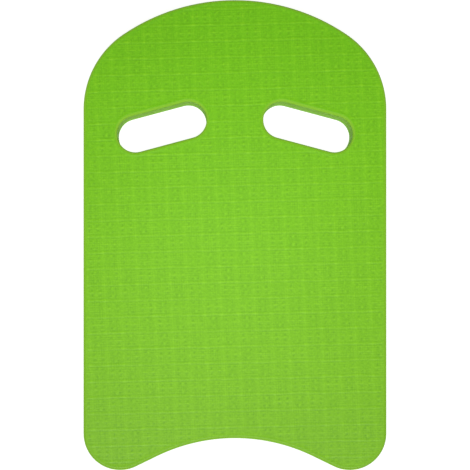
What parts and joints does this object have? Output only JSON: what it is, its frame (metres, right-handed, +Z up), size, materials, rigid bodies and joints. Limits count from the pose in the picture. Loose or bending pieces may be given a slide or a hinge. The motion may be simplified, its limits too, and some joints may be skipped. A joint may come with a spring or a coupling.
{
  "type": "kickboard",
  "caption": "Flat foam swimming kickboard with a domed nose, an arched tail and slanted hand slots, made as a bonded stack of die-cut foam sheets.",
  "frame": {"origin": "middle of the board's footprint, on the plane that it lies on", "axes": "+X across the width, +Y along the length towards the domed nose, +Z up through the thickness, out of the front skin"},
  "size_m": [0.29, 0.45, 0.03],
  "materials": {
    "embossed_foam": "lime-green closed-cell foam with a fine pressed grid, matte",
    "cut_foam": "lime-green closed-cell foam, die-cut edge with fine open cells, matte"
  },
  "bodies": {
    "root": {"back_skin": "embossed_foam", "back_core": "cut_foam", "middle_core": "cut_foam", "front_core": "cut_foam", "front_skin": "embossed_foam"}
  },
  "joints": []
}
